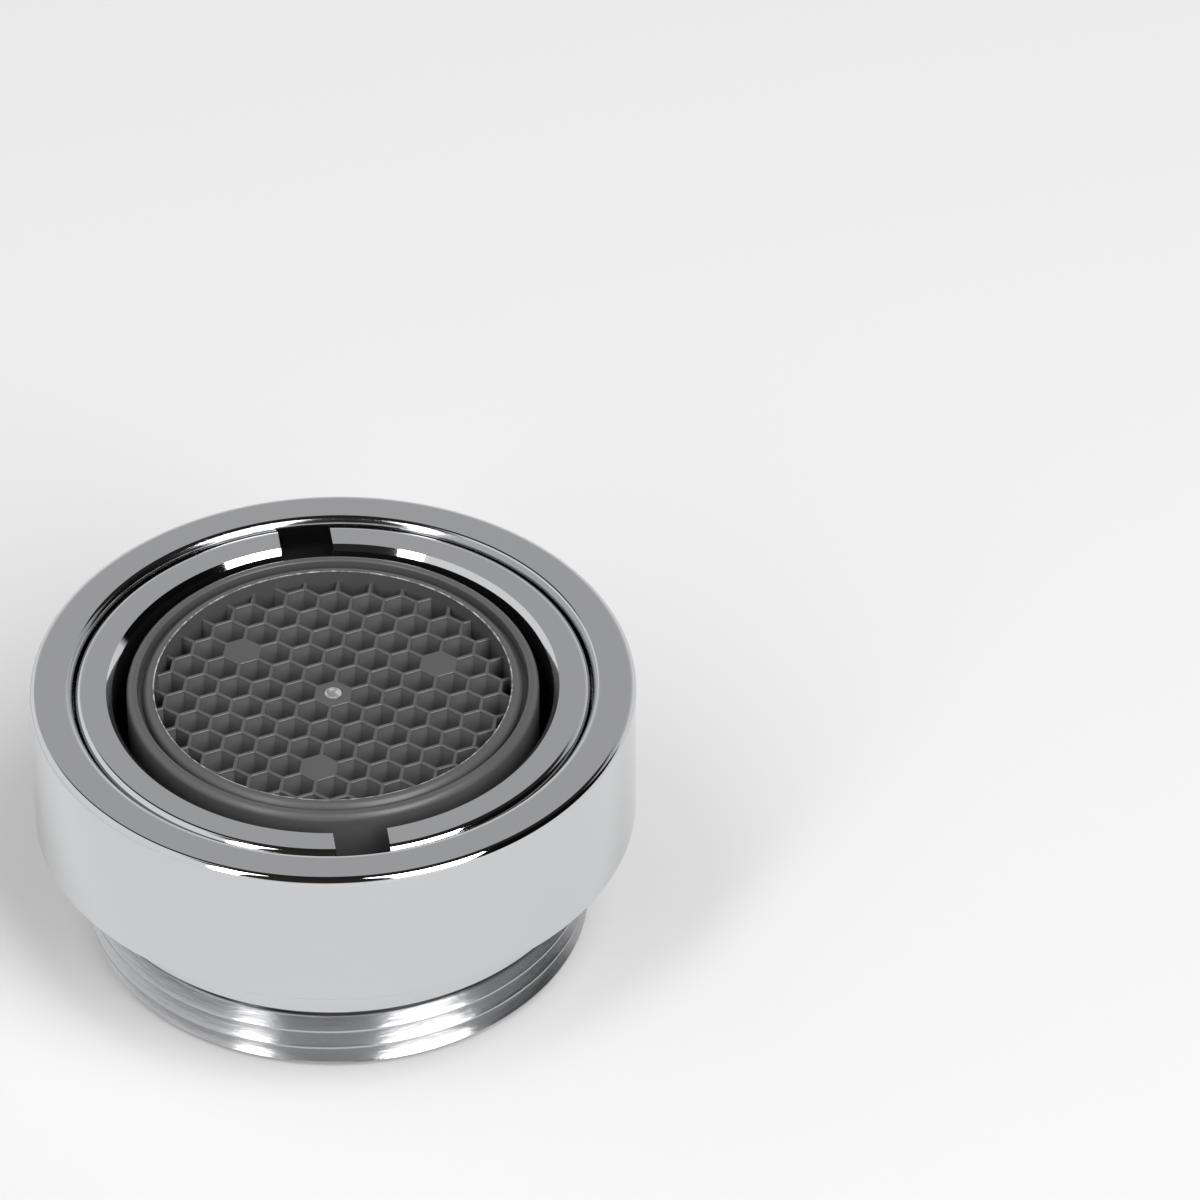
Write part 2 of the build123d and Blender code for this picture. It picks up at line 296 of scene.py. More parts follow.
def block(shell, x_ends, y_ends, z_ends, turn):
    """Add a block between two x, two y and two z values, turned about the axis."""
    (left, right), (front, back) = x_ends, y_ends
    corners = []
    for z in z_ends:
        for x, y in ((left, front), (right, front), (right, back), (left, back)):
            spot = (x * cos(turn) - y * sin(turn), x * sin(turn) + y * cos(turn), z)
            corners.append(shell.verts.new(spot))
    for face in (
            (0, 1, 2, 3), (4, 5, 6, 7), (0, 1, 5, 4), (1, 2, 6, 5), (2, 3, 7, 6), (3, 0, 4, 7)):
        shell.faces.new([corners[index] for index in face])


def slot_cutter(width, top, radius):
    """A closed bar across the sleeve's end, as wide and deep as its two slots."""
    shell = bmesh.new()
    reach = radius * 1.2
    heights = (top - SLOT_DEPTH, top + 1.0 * MM)
    block(shell, (-width / 2, width / 2), (-reach, reach), heights, SLOT_TURN)
    return loose_object("slot_cutter", mesh_from(shell, "slot_cutter"))


def window_cutter():
    """One mesh of closed blocks, one for each air window in the insert's wall."""
    shell = bmesh.new()
    widths = (-WINDOW_WIDTH / 2, WINDOW_WIDTH / 2)
    for window in range(WINDOW_COUNT):
        block(shell, WINDOW_RADII, widths, WINDOW_HEIGHTS, 2 * pi * window / WINDOW_COUNT)
    return loose_object("window_cutter", mesh_from(shell, "window_cutter"))


def prism(name, sides, levels):
    """A closed upright prism from (height, corner radius) levels, with a corner towards Y."""
    shell = bmesh.new()
    rings = []
    for height, radius in levels:
        ring = []
        for side in range(sides):
            turn = 2 * pi * side / sides + pi / 2
            ring.append(shell.verts.new((radius * cos(turn), radius * sin(turn), height)))
        rings.append(ring)
    for low, high in zip(rings, rings[1:]):
        for side in range(sides):
            after = (side + 1) % sides
            shell.faces.new((low[side], low[after], high[after], high[side]))
    shell.faces.new(list(reversed(rings[0])))
    shell.faces.new(rings[-1])
    return loose_object(name, mesh_from(shell, name))


# Parts of node trees

def socket(group, name, kind, default=None, output=False):
    in_out = "OUTPUT" if output else "INPUT"
    made = group.interface.new_socket(name=name, in_out=in_out, socket_type=kind)
    if default is not None:
        made.default_value = default


def math_node(tree, operation, first, second=None):
    node = tree.nodes.new("ShaderNodeMath")
    node.operation = operation
    for index, value in enumerate((first, second)):
        if value is None:
            continue
        if isinstance(value, (int, float)):
            node.inputs[index].default_value = value
        else:
            tree.links.new(value, node.inputs[index])
    return node.outputs[0]


def plus(tree, first, *others):
    for value in others:
        first = math_node(tree, "ADD", first, value)
    return first


def minus(tree, first, second):
    return math_node(tree, "SUBTRACT", first, second)


def times(tree, first, *others):
    for value in others:
        first = math_node(tree, "MULTIPLY", first, value)
    return first


def over(tree, first, second):
    return math_node(tree, "DIVIDE", first, second)


def between(tree, value, least, most):
    """A value kept within two limits."""
    return math_node(tree, "MINIMUM", math_node(tree, "MAXIMUM", value, least), most)


def length_of(tree, x, y):
    return math_node(tree, "SQRT", plus(tree, times(tree, x, x), times(tree, y, y)))


def joined(tree, x=None, y=None, z=None):
    """A vector from the parts that are given."""
    join = tree.nodes.new("ShaderNodeCombineXYZ")
    for index, value in enumerate((x, y, z)):
        if value is not None:
            tree.links.new(value, join.inputs[index])
    return join.outputs[0]


def parted(tree, vector):
    """A vector's x, y and z."""
    apart = tree.nodes.new("ShaderNodeSeparateXYZ")
    tree.links.new(vector, apart.inputs[0])
    return tuple(apart.outputs)


def coordinates(tree, kind="Object"):
    return tree.nodes.new("ShaderNodeTexCoord").outputs[kind]


def noise(tree, vector, scale, detail):
    """Smooth noise at a fixed scale, or at the scale that a socket gives."""
    node = tree.nodes.new("ShaderNodeTexNoise")
    node.inputs["Detail"].default_value = detail
    if isinstance(scale, float):
        node.inputs["Scale"].default_value = scale
    else:
        tree.links.new(scale, node.inputs["Scale"])
    tree.links.new(vector, node.inputs["Vector"])
    return node.outputs["Fac"]


def ramp(tree, value, start, end, low=0.0, high=1.0):
    """low before start and high past end, in even steps between. end may lie below start."""
    node = tree.nodes.new("ShaderNodeMapRange")
    node.inputs["From Min"].default_value = start
    node.inputs["From Max"].default_value = end
    node.inputs["To Min"].default_value = low
    node.inputs["To Max"].default_value = high
    tree.links.new(value, node.inputs["Value"])
    return node.outputs["Result"]


def tinted(tree, factor, under, over_it):
    """One colour laid over another by a mask."""
    mix = tree.nodes.new("ShaderNodeMix")
    mix.data_type = "RGBA"
    tree.links.new(factor, mix.inputs["Factor"])
    for place, value in ((6, under), (7, over_it)):
        if isinstance(value, tuple):
            mix.inputs[place].default_value = (*value, 1)
        else:
            tree.links.new(value, mix.inputs[place])
    return mix.outputs[2]


# Shader groups

def lathe_marks_group():
    """Fine rings that a turning tool leaves: by radius on ends and by height on sides."""
    group = bpy.data.node_groups.new("lathe_marks", "ShaderNodeTree")
    socket(group, "Marks per metre", "NodeSocketFloat", 20000.0)
    socket(group, "Streak length", "NodeSocketFloat", 6.0)
    socket(group, "Height", "NodeSocketFloat", output=True)
    socket(group, "Mask", "NodeSocketFloat", output=True)
    enter = group.nodes.new("NodeGroupInput")
    leave = group.nodes.new("NodeGroupOutput")
    place = coordinates(group)
    x, y, z = parted(group, place)
    around = math_node(group, "ARCTAN2", y, x)
    streak = enter.outputs["Streak length"]
    spot = joined(
        group,
        times(group, plus(group, length_of(group, x, y), z), enter.outputs["Marks per metre"]),
        times(group, math_node(group, "SINE", around), streak),
        times(group, math_node(group, "COSINE", around), streak))
    group.links.new(noise(group, spot, 1.0, 3.0), leave.inputs["Height"])
    group.links.new(noise(group, place, 260.0, 2.0), leave.inputs["Mask"])
    return group


def moulded_grain_group():
    """Fine grain and faint flow shades of moulded plastic."""
    group = bpy.data.node_groups.new("moulded_grain", "ShaderNodeTree")
    socket(group, "Light", "NodeSocketColor", (0.2, 0.2, 0.2, 1))
    socket(group, "Dark", "NodeSocketColor", (0.1, 0.1, 0.1, 1))
    socket(group, "Grain scale", "NodeSocketFloat", 9000.0)
    socket(group, "Colour", "NodeSocketColor", output=True)
    socket(group, "Height", "NodeSocketFloat", output=True)
    enter = group.nodes.new("NodeGroupInput")
    leave = group.nodes.new("NodeGroupOutput")
    place = coordinates(group)
    shades = noise(group, place, 320.0, 4.0)
    colour = tinted(group, shades, enter.outputs["Dark"], enter.outputs["Light"])
    group.links.new(colour, leave.inputs["Colour"])
    grain = noise(group, place, enter.outputs["Grain scale"], 2.0)
    group.links.new(grain, leave.inputs["Height"])
    return group


# Materials

def group_node(tree, group, **values):
    node = tree.nodes.new("ShaderNodeGroup")
    node.node_tree = group
    for name, value in values.items():
        node.inputs[name.replace("_", " ")].default_value = value
    return node


def new_material(name):
    material = bpy.data.materials.new(name)
    material.use_nodes = True
    return material, material.node_tree, surface_of(material)


def surface_of(material):
    return material.node_tree.nodes["Principled BSDF"]


def repaint(material, colour):
    material.node_tree.links.new(colour, surface_of(material).inputs["Base Color"])


def paint_of(material):
    """The socket that the base colour comes from so far."""
    return surface_of(material).inputs["Base Color"].links[0].from_socket


def raised(tree, surface, height, distance):
    """Bump a surface by a height from 0 to 1 times a distance in metres."""
    bump = tree.nodes.new("ShaderNodeBump")
    bump.inputs["Strength"].default_value = 1.0
    bump.inputs["Distance"].default_value = distance
    tree.links.new(height, bump.inputs["Height"])
    tree.links.new(bump.outputs["Normal"], surface.inputs["Normal"])


ROUGHNESS_SPREAD = 0.02


def chromed(name, colour, roughness, marks_per_metre, mark_height, streak_length=6.0):
    """Metal with turning marks and a roughness that wanders a little."""
    material, tree, surface = new_material(name)
    surface.inputs["Base Color"].default_value = (*colour, 1)
    surface.inputs["Metallic"].default_value = 1.0
    marks = group_node(
        tree, SHARED["lathe_marks"], Marks_per_metre=marks_per_metre, Streak_length=streak_length)
    smoothest = max(0.0, roughness - ROUGHNESS_SPREAD)
    wander = ramp(tree, marks.outputs["Mask"], 0, 1, smoothest, roughness + ROUGHNESS_SPREAD)
    tree.links.new(wander, surface.inputs["Roughness"])
    raised(tree, surface, marks.outputs["Height"], mark_height)
    return material


THREAD_STRETCH = 0.95
QUARTER_TURN = 0.25
PAINTED_NECK_SHADOW = (0.06, 0.06, 0.06)


def brushed_with_painted_shadow(material, shadow_from):
    """Stretch the highlights along the axis, and paint shade on the thread's top flank just under
    the neck, where the neck's edge shades it.
    """
    tree = material.node_tree
    surface = surface_of(material)
    surface.inputs["Anisotropic"].default_value = THREAD_STRETCH
    surface.inputs["Anisotropic Rotation"].default_value = QUARTER_TURN
    height = parted(tree, coordinates(tree))[2]
    # painted shadow: a dark band on the thread's top flank, just under the neck
    painted_neck_shadow = times(
        tree, ramp(tree, height, shadow_from, shadow_from + 0.1 * MM),
        ramp(tree, height, shadow_from + 0.3 * MM, shadow_from + 0.25 * MM))
    bright = tuple(surface.inputs["Base Color"].default_value)[:3]
    repaint(material, tinted(tree, painted_neck_shadow, bright, PAINTED_NECK_SHADOW))


GRAIN_SCALE = 9000.0
GRAIN_HEIGHT = 4e-6
SHADE_CONTRAST = 0.12


def moulded(name, colour, roughness):
    """Moulded plastic or rubber with its grain."""
    material, tree, surface = new_material(name)
    surface.inputs["Roughness"].default_value = roughness
    light = tuple(min(1.0, part * (1 + SHADE_CONTRAST)) for part in colour)
    dark = tuple(part * (1 - SHADE_CONTRAST) for part in colour)
    grain = group_node(
        tree, SHARED["moulded_grain"], Light=(*light, 1), Dark=(*dark, 1), Grain_scale=GRAIN_SCALE)
    repaint(material, grain.outputs["Colour"])
    raised(tree, surface, grain.outputs["Height"], GRAIN_HEIGHT)
    return material


# white of the painted highlight on the lip's edge, also used to lighten the gate mark
HIGHLIGHT_AND_GATE_WHITE = (0.32, 0.32, 0.32)
STROKE_SCALE = 2600.0


def whiten_edge(material, radius, half_width, bottom, least):
    """Lighten a thin ring of moulded plastic in short strokes: on the lip's sharp edge a painted
    highlight, on the gate mark a lighter ring.
    """
    tree = material.node_tree
    place = coordinates(tree)
    x, y, z = parted(tree, place)
    away = math_node(tree, "ABSOLUTE", minus(tree, length_of(tree, x, y), radius))
    ring = times(
        tree, math_node(tree, "LESS_THAN", away, half_width),
        math_node(tree, "GREATER_THAN", z, bottom))
    # short strokes of the lightened ring; on the lip this is a painted highlight
    stroke_mask = ramp(tree, noise(tree, place, STROKE_SCALE, 3.0), 0.42, 0.62, least)
    repaint(material, tinted(tree, times(tree, ring, stroke_mask), paint_of(material), HIGHLIGHT_AND_GATE_WHITE))


def paint_light_in_cells(material, radius, top, factor):
    """Lighten the walls inside the honeycomb's cells: painted light, standing in for light that
    comes through the plastic and bounces between the walls.
    """
    tree = material.node_tree
    x, y, z = parted(tree, coordinates(tree))
    near = math_node(tree, "LESS_THAN", length_of(tree, x, y), radius)
    # painted light: the mask of the cell walls that are drawn lighter
    inside = times(tree, near, ramp(tree, z, top, top - 0.1 * MM))
    scaled = tree.nodes.new("ShaderNodeVectorMath")
    scaled.operation = "SCALE"
    tree.links.new(paint_of(material), scaled.inputs[0])
    tree.links.new(plus(tree, times(tree, inside, factor - 1), 1), scaled.inputs["Scale"])
    repaint(material, scaled.outputs[0])


def dimmed(colour, share):
    return tuple(part * share for part in colour)


SHARED = {}


class AERATOR_OT_finishes(bpy.types.Operator):
    """Build the shared shader groups and the materials of the visible pieces"""
    bl_idname = "aerator.finishes"
    bl_label = "Finishes"

    def execute(self, context):
        finish = context.scene.aerator_finish
        chrome = tuple(finish.chrome_colour)
        polish = finish.chrome_roughness
        SHARED["lathe_marks"] = lathe_marks_group()
        SHARED["moulded_grain"] = moulded_grain_group()
        SHARED["shroud"] = chromed("shroud_chrome", chrome, polish, 9000.0, 3e-7)
        SHARED["bore"] = chromed("bore_chrome", dimmed(chrome, 0.6), 0.12, 12000.0, 5e-6)
        # the sleeve's bore: dull metal drawn dark grey, painted shade for the dark deep inside the
        # bore
        SHARED["inside"] = chromed("bore_dark_painted_shade", (0.1, 0.1, 0.1), 0.4, 12000.0, 2e-6)
        SHARED["sleeve"] = chromed("sleeve_chrome", chrome, polish + 0.015, 12000.0, 3e-7)
        SHARED["thread"] = chromed(
            "thread_chrome", dimmed(chrome, 0.85), 0.26, 12000.0, 2.2e-5, 8.0)
        # the thread's top flank under the neck gets a painted shadow
        brushed_with_painted_shadow(SHARED["thread"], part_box("threaded_sleeve")[0].z + 2.42 * MM)
        plastic = moulded("insert_plastic", tuple(finish.insert_colour), 0.33)
        surface_of(plastic).inputs["Specular IOR Level"].default_value = 0.3
        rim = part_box("insert_body")[1].z
        # painted highlight on the lip's inner edge, then lighter rings on the gate mark's rim and
        # its middle
        whiten_edge(plastic, 8.385 * MM, 0.03 * MM, rim - 0.07 * MM, 0.1)
        whiten_edge(plastic, 0.35 * MM, 0.05 * MM, rim - 0.61 * MM, 0.5)
        whiten_edge(plastic, 0.14 * MM, 0.15 * MM, rim - 0.63 * MM, 0.3)
        # painted light on the walls inside the cells
        paint_light_in_cells(plastic, 8.32 * MM, rim - 0.67 * MM, 1.6)
        SHARED["insert"] = plastic
        return {"FINISHED"}


class AERATOR_OT_shroud(bpy.types.Operator):
    """Model the shroud that spins on the sleeve"""
    bl_idname = "aerator.shroud"
    bl_label = "Shroud"

    def execute(self, context):
        sizes = context.scene.aerator_sizes
        low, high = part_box("shroud_ring")
        ring_low, ring_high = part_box("retaining_ring")
        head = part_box("threaded_sleeve")[1]
        outer = high.x
        mouth = head.x + MOUTH_GAP
        bore = head.x - BORE_STEP
        shoulder = head.z - SHOULDER_DROP
        groove = ring_high.x + RING_ROOM
        shape = outline([
            (bore, low.z),
            (outer, low.z),
            (outer, high.z),
            (mouth, high.z),
            (mouth, shoulder),
            (bore, shoulder),
            (bore, ring_high.z + RING_ROOM),
            (groove, ring_high.z + RING_ROOM),
            (groove, ring_low.z - RING_ROOM),
            (bore, ring_low.z - RING_ROOM),
        ], {
            0: ("chamfer", sizes.foot_chamfer),
            1: ("chamfer", sizes.foot_chamfer),
            2: ("round", sizes.top_round),
            3: ("round", sizes.lip_round),
        })
        piece = mesh_piece("shroud_turned", turned("shroud_turned", shape), SHARED["shroud"])
        bore_reach = mouth + sizes.lip_round
        bore_top = high.z - 0.05 * MM
        line_faces(piece, SHARED["bore"], lambda radius, height, outward: (
            outward < 0 and radius < bore_reach and height < bore_top))
        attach(piece, "shroud")
        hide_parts("shroud_ring")
        return {"FINISHED"}


# Geometry Nodes trees

def new_tree(name):
    tree = bpy.data.node_groups.new(name, "GeometryNodeTree")
    socket(tree, "Geometry", "NodeSocketGeometry")
    socket(tree, "Geometry", "NodeSocketGeometry", output=True)
    return tree, tree.nodes.new("NodeGroupInput"), tree.nodes.new("NodeGroupOutput")


def finish_tree(tree, leave, geometry, enter):
    """Every tree ends in plain geometry with its material."""
    plain = tree.nodes.new("GeometryNodeRealizeInstances")
    tree.links.new(geometry, plain.inputs[0])
    coat = tree.nodes.new("GeometryNodeSetMaterial")
    tree.links.new(plain.outputs[0], coat.inputs["Geometry"])
    tree.links.new(enter.outputs["Material"], coat.inputs["Material"])
    tree.links.new(coat.outputs[0], leave.inputs[0])


def run_tree(piece, tree, values):
    """Give a piece its tree with values by the sockets' names, and keep the plain result."""
    modifier = piece.modifiers.new(tree.name, "NODES")
    modifier.node_group = tree
    for item in tree.interface.items_tree:
        if item.in_out == "INPUT" and item.name in values:
            modifier[item.identifier] = values[item.name]
    return plain_result(piece)


def unit_grid(tree, columns, rows):
    """A grid of points from -0.5 to 0.5, with each point's x and y."""
    grid = tree.nodes.new("GeometryNodeMeshGrid")
    for side in ("Size X", "Size Y"):
        grid.inputs[side].default_value = 1.0
    tree.links.new(columns, grid.inputs["Vertices X"])
    tree.links.new(rows, grid.inputs["Vertices Y"])
    where = tree.nodes.new("GeometryNodeInputPosition")
    x, y, _ = parted(tree, where.outputs[0])
    return grid.outputs["Mesh"], x, y


def geometry_of(tree, source):
    """The geometry of the object that a socket names."""
    node = tree.nodes.new("GeometryNodeObjectInfo")
    tree.links.new(source, node.inputs["Object"])
    return node.outputs["Geometry"]


def difference(tree, kept, *taken):
    node = tree.nodes.new("GeometryNodeMeshBoolean")
    node.operation = "DIFFERENCE"
    node.solver = "EXACT"
    tree.links.new(kept, node.inputs["Mesh 1"])
    for geometry in taken:
        tree.links.new(geometry, node.inputs["Mesh 2"])
    return node.outputs["Mesh"]


def thread_tree():
    """An outside thread: a grid wrapped round the axis so that its rows climb a pitch each turn."""
    tree, enter, leave = new_tree("outside_thread")
    for name in ("Steps", "Rows per pitch", "Rows"):
        socket(tree, name, "NodeSocketInt", ROWS_PER_PITCH)
    for name in (
            "Radius", "Depth", "Pitch", "Bottom", "Top", "Lead", "Inner radius", "Relief radius",
            "Crest", "Root", "Start"):
        socket(tree, name, "NodeSocketFloat", 0.001)
    socket(tree, "Material", "NodeSocketMaterial")
    get = enter.outputs
    grid, x, y = unit_grid(tree, plus(tree, get["Steps"], 1), get["Rows"])
    part = plus(tree, x, 0.5)
    last = minus(tree, get["Rows"], 1)
    row = math_node(tree, "ROUND", times(tree, plus(tree, y, 0.5), last))
    climbed = over(tree, minus(tree, row, 1), get["Rows per pitch"])
    turns = plus(tree, minus(tree, climbed, 1), part)
    height = plus(tree, get["Bottom"], times(tree, turns, get["Pitch"]))
    height = between(tree, height, get["Bottom"], get["Top"])
    rise = minus(tree, height, get["Bottom"])
    # where each point lies between two roots, 0.5 at the crest
    place = plus(tree, minus(tree, over(tree, rise, get["Pitch"]), part), get["Start"])
    place = minus(tree, place, math_node(tree, "FLOOR", place))
    away = math_node(tree, "ABSOLUTE", minus(tree, place, 0.5))
    beside = minus(tree, away, times(tree, get["Crest"], 0.5))
    flank = minus(tree, 0.5, times(tree, plus(tree, get["Crest"], get["Root"]), 0.5))
    cut = times(tree, between(tree, over(tree, beside, flank), 0, 1), get["Depth"])
    lead = math_node(tree, "MAXIMUM", minus(tree, get["Lead"], rise), cut)
    radius = minus(tree, get["Radius"], math_node(tree, "MINIMUM", lead, get["Depth"]))
    # the first and the last row close the ends
    first = math_node(tree, "LESS_THAN", row, 0.5)
    end = math_node(tree, "GREATER_THAN", row, minus(tree, last, 0.5))
    kept = minus(tree, 1, plus(tree, first, end))
    ends = plus(
        tree, times(tree, first, get["Inner radius"]), times(tree, end, get["Relief radius"]))
    radius = plus(tree, times(tree, radius, kept), ends)
    angle = times(tree, part, 2 * pi)
    move = tree.nodes.new("GeometryNodeSetPosition")
    tree.links.new(grid, move.inputs["Geometry"])
    tree.links.new(joined(
        tree, times(tree, radius, math_node(tree, "COSINE", angle)),
        times(tree, radius, math_node(tree, "SINE", angle)), height), move.inputs["Position"])
    weld = tree.nodes.new("GeometryNodeMergeByDistance")
    weld.inputs["Distance"].default_value = 1e-7
    tree.links.new(move.outputs[0], weld.inputs["Geometry"])
    finish_tree(tree, leave, weld.outputs[0], enter)
    return tree


class AERATOR_OT_sleeve(bpy.types.Operator):
    """Model the sleeve with its thread and the two slots in its head"""
    bl_idname = "aerator.sleeve"
    bl_label = "Sleeve"

    def execute(self, context):
        sizes = context.scene.aerator_sizes
        low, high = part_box("threaded_sleeve")
        ring_low, ring_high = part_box("retaining_ring")
        head = high.x
        head_low = high.z - HEAD_HEIGHT
        neck = head - NECK_STEP
        relief = neck - RELIEF_DEPTH
        relief_low = low.z + THREAD_LENGTH
        relief_high = relief_low + RELIEF_WIDTH
        groove = ring_high.x - RING_GROOVE_DEPTH
        shape = outline([
            (relief, relief_low),
            (relief, relief_high),
            (neck, relief_high),
            (neck, ring_low.z - RING_GROOVE_ROOM),
            (groove, ring_low.z - RING_GROOVE_ROOM),
            (groove, ring_high.z + RING_GROOVE_ROOM),
            (neck, ring_high.z + RING_GROOVE_ROOM),
            (neck, head_low),
            (head, head_low),
            (head, high.z),
            (SLEEVE_BORE, high.z),
            (SLEEVE_BORE, LEDGE_TOP),
            (INSERT_LEDGE, LEDGE_TOP),
            (INSERT_LEDGE, WASHER_CEILING),
            (WASHER_RECESS, WASHER_CEILING),
            (WASHER_RECESS, low.z),
        ], {
            2: ("chamfer", NECK_CHAMFER),
            9: ("round", sizes.head_round),
            10: ("chamfer", sizes.head_mouth),
        })
        pitches = (relief_low - low.z) / sizes.thread_pitch + 1
        host = loose_object("thread_host", bpy.data.meshes.new("thread_host"))
        thread_mesh = run_tree(host, thread_tree(), {
            "Steps": TURN_STEPS,
            "Rows per pitch": ROWS_PER_PITCH,
            "Rows": int(pitches * ROWS_PER_PITCH) + 4,
            "Radius": neck - THREAD_STEP,
            "Depth": sizes.thread_depth,
            "Pitch": sizes.thread_pitch,
            "Bottom": low.z,
            "Top": relief_low,
            "Lead": THREAD_LEAD,
            "Inner radius": WASHER_RECESS,
            "Relief radius": relief,
            "Crest": sizes.thread_crest,
            "Root": THREAD_ROOT,
            "Start": THREAD_START,
            "Material": SHARED["sleeve"],
        })
        bpy.data.objects.remove(host)
        shell = bmesh.new()
        shell.from_mesh(turned("sleeve_body", shape, closed=False))
        shell.from_mesh(thread_mesh)
        piece = mesh_piece(
            "sleeve_turned", mesh_from(shell, "sleeve_turned", merge=2e-7), SHARED["sleeve"])
        cut_away(piece, slot_cutter(sizes.slot_width, high.z, head))
        shade(piece, SHARED["sleeve"])
        # faces inside the sleeve's bore get the dark finish that paints their shade
        inside_reach = SLEEVE_BORE + 0.01 * MM
        inside_top = high.z - sizes.head_mouth
        line_faces(piece, SHARED["inside"], lambda radius, height, outward: (
            outward < 0 and radius < inside_reach and height < inside_top))
        thread_top = relief_high - 0.01 * MM
        line_faces(piece, SHARED["thread"], lambda radius, height, outward: (
            outward > 0 and radius > WASHER_RECESS and height < thread_top))
        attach(piece, "housing")
        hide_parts("threaded_sleeve")
        return {"FINISHED"}


def honeycomb_tree():
    """Cuts a honeycomb of cells out of a body, inside one circle, with a few cells left solid."""
    tree, enter, leave = new_tree("honeycomb_cells")
    for name in ("Cell cutter", "Rim keeper", "Window cutter"):
        socket(tree, name, "NodeSocketObject")
    socket(tree, "Span", "NodeSocketInt", 12)
    for name in ("Pitch", "Reach", "Angle"):
        socket(tree, name, "NodeSocketFloat", 0.001)
    socket(tree, "Material", "NodeSocketMaterial")
    get = enter.outputs
    steps = times(tree, get["Span"], 2)
    side = plus(tree, steps, 1)
    grid, grid_x, grid_y = unit_grid(tree, side, side)
    place = math_node(tree, "ROUND", times(tree, grid_x, steps))
    row = math_node(tree, "ROUND", times(tree, grid_y, steps))
    along = times(tree, plus(tree, place, times(tree, row, 0.5)), get["Pitch"])
    across = times(tree, row, sqrt(3) / 2, get["Pitch"])
    outside = math_node(tree, "GREATER_THAN", length_of(tree, along, across), get["Reach"])
    for solid_place, solid_row in SOLID_CELLS:
        at_place = math_node(tree, "COMPARE", place, solid_place)
        at_row = math_node(tree, "COMPARE", row, solid_row)
        for match in (at_place, at_row):
            match.node.inputs[2].default_value = 0.4
        outside = math_node(tree, "MAXIMUM", outside, times(tree, at_place, at_row))
    cosine = math_node(tree, "COSINE", get["Angle"])
    sine = math_node(tree, "SINE", get["Angle"])
    x = minus(tree, times(tree, along, cosine), times(tree, across, sine))
    y = plus(tree, times(tree, along, sine), times(tree, across, cosine))
    points = tree.nodes.new("GeometryNodeMeshToPoints")
    tree.links.new(grid, points.inputs["Mesh"])
    tree.links.new(joined(tree, x, y), points.inputs["Position"])
    tree.links.new(minus(tree, 1, outside), points.inputs["Selection"])
    cells = tree.nodes.new("GeometryNodeInstanceOnPoints")
    tree.links.new(points.outputs[0], cells.inputs["Points"])
    tree.links.new(geometry_of(tree, get["Cell cutter"]), cells.inputs["Instance"])
    tree.links.new(joined(tree, z=get["Angle"]), cells.inputs["Rotation"])
    plain = tree.nodes.new("GeometryNodeRealizeInstances")
    tree.links.new(cells.outputs[0], plain.inputs[0])
    inside = difference(tree, plain.outputs[0], geometry_of(tree, get["Rim keeper"]))
    windows = geometry_of(tree, get["Window cutter"])
    finish_tree(tree, leave, difference(tree, get["Geometry"], inside, windows), enter)
    return tree


class AERATOR_OT_insert(bpy.types.Operator):
    """Model the insert with its honeycomb, its groove and its air windows"""
    bl_idname = "aerator.insert"
    bl_label = "Insert"

    def execute(self, context):
        sizes = context.scene.aerator_sizes
        low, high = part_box("insert_body")
        rim = high.z
        flange = high.x
        face = rim - HONEYCOMB_SINK
        chamber_top = face - HONEYCOMB_DEPTH
        lip = HONEYCOMB_RADIUS + LIP_WIDTH
        lip_top = face + LIP_HEIGHT
        groove = INSERT_RADIUS - RIM_WIDTH
        groove_floor = rim - GROOVE_DEPTH
        shape = outline([
            (0, chamber_top),
            (CHAMBER_RADIUS, chamber_top),
            (CHAMBER_RADIUS, CHAMBER_FOOT),
            (SKIRT_RADIUS, CHAMBER_FOOT),
            (SKIRT_RADIUS, low.z),
            (flange, low.z),
            (flange, FLANGE_TOP),
            (INSERT_RADIUS, FLANGE_TOP),
            (INSERT_RADIUS, rim),
            (groove, rim),
            (groove - GROOVE_DRAFT, groove_floor),
            (lip, groove_floor),
            (lip, lip_top),
            (HONEYCOMB_RADIUS, lip_top),
            (HONEYCOMB_RADIUS, face),
            *((radius * MM, face + height * MM) for radius, height in GATE_RING),
        ], {
            8: ("round", RIM_ROUND),
            9: ("round", RIM_INNER_ROUND),
            12: ("round", LIP_ROUND),
            13: ("round", LIP_INNER_ROUND),
        })
        piece = mesh_piece("insert_moulded", turned("insert_moulded", shape), SHARED["insert"])
        across = (sizes.cell_pitch - sizes.cell_wall) / 2
        corner_out = 2 / sqrt(3)
        cell = prism("cell_cutter", 6, [
            (chamber_top - 0.5 * MM, across * corner_out),
            (face - CELL_EDGE, across * corner_out),
            (face, (across + CELL_EDGE) * corner_out),
            (face + 0.4 * CELL_EDGE, (across + CELL_EDGE * 1.4) * corner_out),
        ])
        beyond = HONEYCOMB_RADIUS + 3 * MM
        # shaped by outline too, so that its wall and the insert's are exactly the same
        keeper = loose_object("rim_keeper", turned("rim_keeper", outline([
            (HONEYCOMB_RADIUS, chamber_top - 1 * MM),
            (beyond, chamber_top - 1 * MM),
            (beyond, rim + 1 * MM),
            (HONEYCOMB_RADIUS, rim + 1 * MM),
        ], {})))
        windows = window_cutter()
        run_tree(piece, honeycomb_tree(), {
            "Cell cutter": cell,
            "Rim keeper": keeper,
            "Window cutter": windows,
            "Span": int(HONEYCOMB_RADIUS / sizes.cell_pitch * 1.4) + 3,
            "Pitch": sizes.cell_pitch,
            "Reach": HONEYCOMB_RADIUS + sizes.cell_pitch * CELL_REACH,
            "Angle": HONEYCOMB_TURN,
            "Material": SHARED["insert"],
        })
        for cutter in (cell, keeper, windows):
            bpy.data.objects.remove(cutter)
        shade(piece, SHARED["insert"], INSERT_SMOOTH)
        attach(piece, "housing")
        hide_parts("insert_body")
        return {"FINISHED"}


